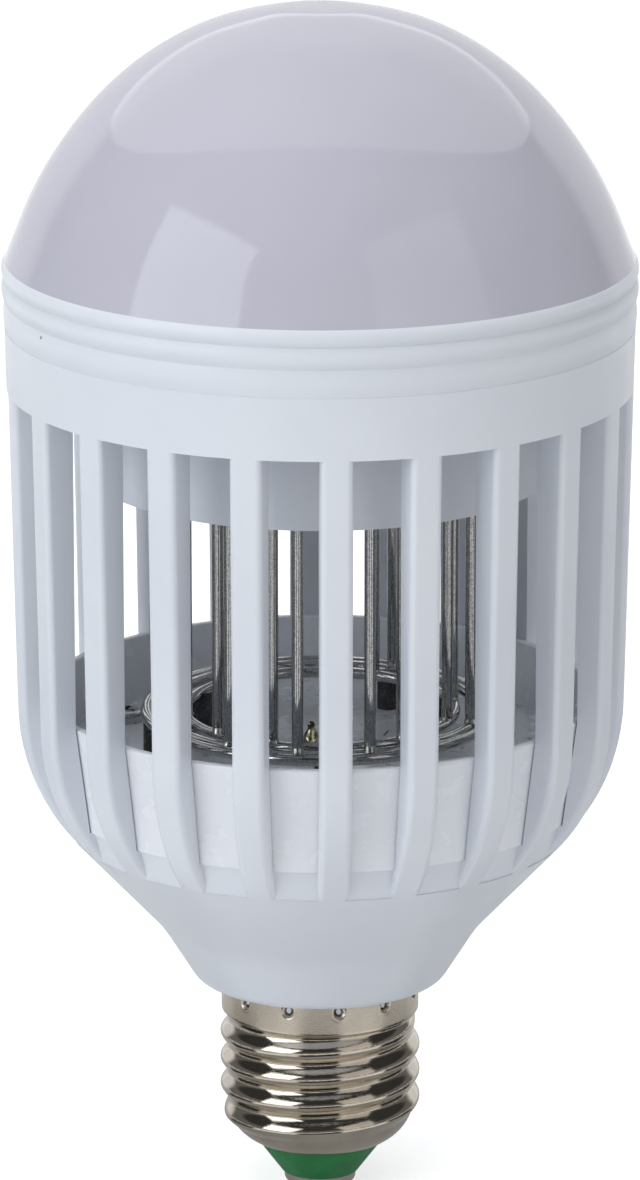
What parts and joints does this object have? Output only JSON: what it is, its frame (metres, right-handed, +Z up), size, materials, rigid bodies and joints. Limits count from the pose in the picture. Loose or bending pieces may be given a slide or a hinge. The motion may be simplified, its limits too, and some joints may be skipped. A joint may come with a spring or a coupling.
{
  "type": "insect killer light bulb",
  "caption": "White screw-in lamp with a milky dome, a ribbed cage round an electric insect grid and a catch tray.",
  "frame": {"origin": "on the lamp's axis at the tip of the centre contact", "axes": "+Z up the lamp's axis, from the screw cap to the dome; -Y is the front in the picture"},
  "size_m": [0.0816, 0.0816, 0.1578],
  "materials": {
    "milky_plastic": "satin",
    "white_plastic": "satin",
    "aluminium": "satin",
    "white_board": "satin",
    "diode_phosphor": "gloss",
    "screw_steel": "satin",
    "grid_wire": "polished",
    "brown_insulator": "gloss",
    "tray_plastic": "satin",
    "diode_lens": "gloss",
    "green_board": "satin",
    "lead_sleeve": "satin",
    "tinned_wire": "satin",
    "fuse_ceramic": "satin",
    "ferrite": "matte",
    "winding_tape": "gloss",
    "capacitor_sleeve": "gloss",
    "film_case": "gloss",
    "chip_case": "matte",
    "nickel": "polished",
    "green_insulator": "satin",
    "solder_tin": "satin"
  },
  "bodies": {
    "root": {"diffuser_dome": "milky_plastic", "head_ring": "white_plastic", "light_plate": "aluminium", "light_board": "white_board", "light_diodes": "diode_phosphor", "light_screws": "screw_steel", "cage": "white_plastic", "grid_holder": "white_plastic", "grid_board": "green_board", "outer_ring": "grid_wire", "outer_hoop": "grid_wire", "inner_ring": "grid_wire", "outer_rods": "grid_wire", "inner_rods": "grid_wire", "outer_ring_posts": "brown_insulator", "inner_ring_posts": "brown_insulator", "trap_tray": "tray_plastic", "tray_screws": "screw_steel", "uv_diode": "diode_lens", "uv_board": "green_board", "uv_leads": "lead_sleeve", "light_leads": "lead_sleeve", "shell_lead": "lead_sleeve", "fuse_leads": "tinned_wire", "fuse_resistor": "fuse_ceramic", "driver_board": "green_board", "driver_core": "ferrite", "driver_winding": "winding_tape", "hv_core": "ferrite", "hv_winding": "winding_tape", "electrolytic_capacitor": "capacitor_sleeve", "film_capacitor": "film_case", "hv_capacitors": "film_case", "rectifier": "chip_case", "cap_shell": "nickel", "cap_insulator": "green_insulator", "centre_contact": "solder_tin"}
  },
  "joints": []
}
